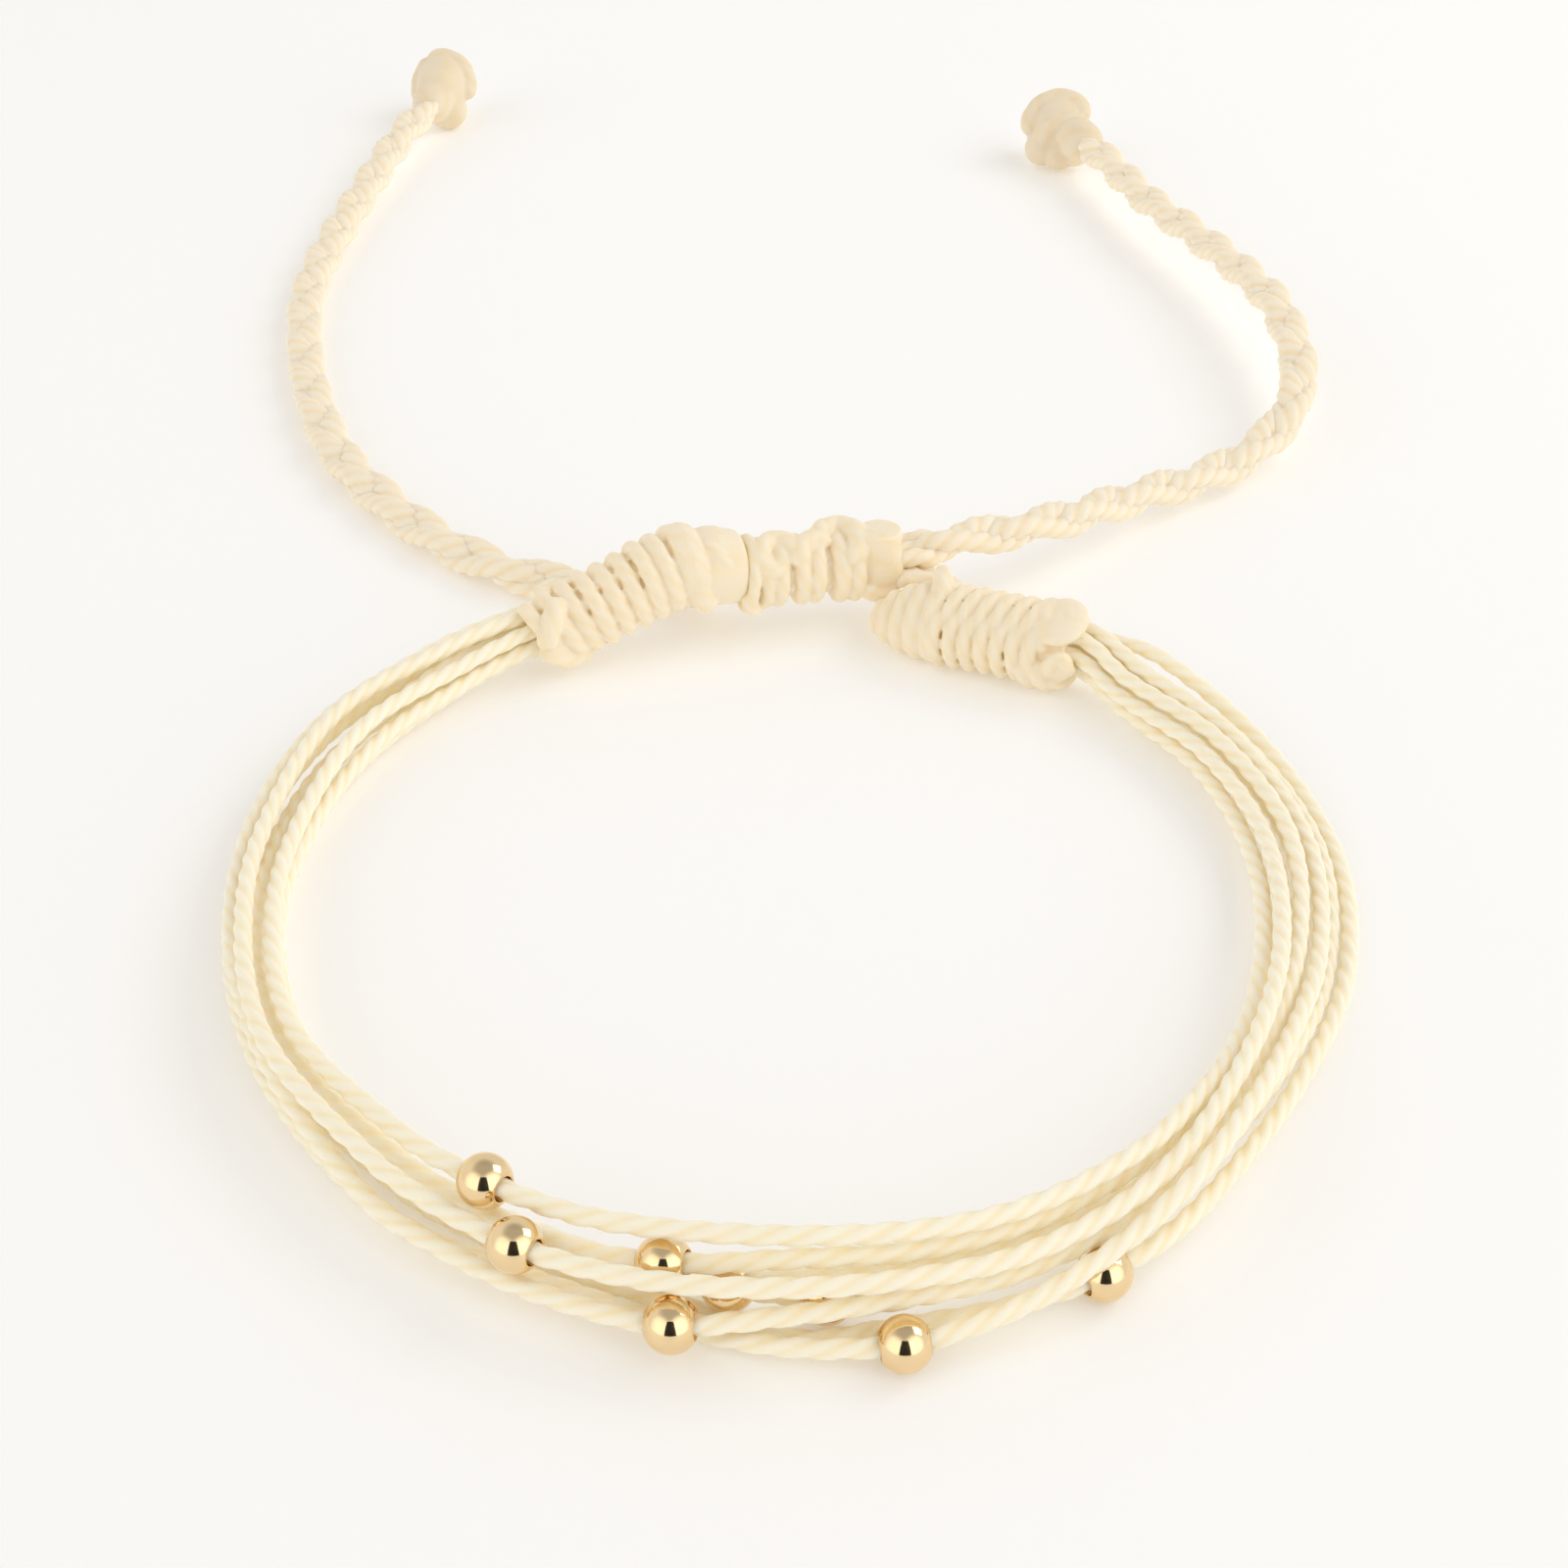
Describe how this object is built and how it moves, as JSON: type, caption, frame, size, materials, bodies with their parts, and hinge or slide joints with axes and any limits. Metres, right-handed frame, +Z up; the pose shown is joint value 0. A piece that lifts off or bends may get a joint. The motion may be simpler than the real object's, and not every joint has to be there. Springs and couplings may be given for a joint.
{
  "type": "braided cord bracelet",
  "caption": "Loop bracelet of thin waxed cords, each with a small round metal bead, gathered in two coiled wraps and closed by a sliding knot on two braided tails.",
  "frame": {"origin": "middle of the loop's wrist opening, on the surface that the bracelet lies on", "axes": "+Z up through the wrist opening, +Y from the beads towards the sliding knot and the tails, +X to the right with the beads at the front"},
  "size_m": [0.0905, 0.1874, 0.0084],
  "materials": {
    "strand_cord": "cream twisted cord with a satin wax coat",
    "tail_cord": "cream twisted cord with a satin wax coat, braided",
    "knot_cord": "cream waxed cord, wound and knotted",
    "gold_bead": "polished gold colour"
  },
  "bodies": {
    "root": {"strand_1": "strand_cord", "strand_2": "strand_cord", "strand_3": "strand_cord", "strand_4": "strand_cord", "strand_5": "strand_cord", "strand_6": "strand_cord", "strand_7": "strand_cord", "strand_8": "strand_cord", "bead_1": "gold_bead", "bead_2": "gold_bead", "bead_3": "gold_bead", "bead_4": "gold_bead", "bead_5": "gold_bead", "bead_6": "gold_bead", "bead_7": "gold_bead", "bead_8": "gold_bead", "left_wrap": "knot_cord", "right_wrap": "knot_cord", "slider": "knot_cord", "right_tail_cord_1": "tail_cord", "right_tail_cord_2": "tail_cord", "right_tail_cord_3": "tail_cord", "left_tail_cord_1": "tail_cord", "left_tail_cord_2": "tail_cord", "left_tail_cord_3": "tail_cord", "left_end_knot": "knot_cord", "right_end_knot": "knot_cord"}
  },
  "joints": []
}
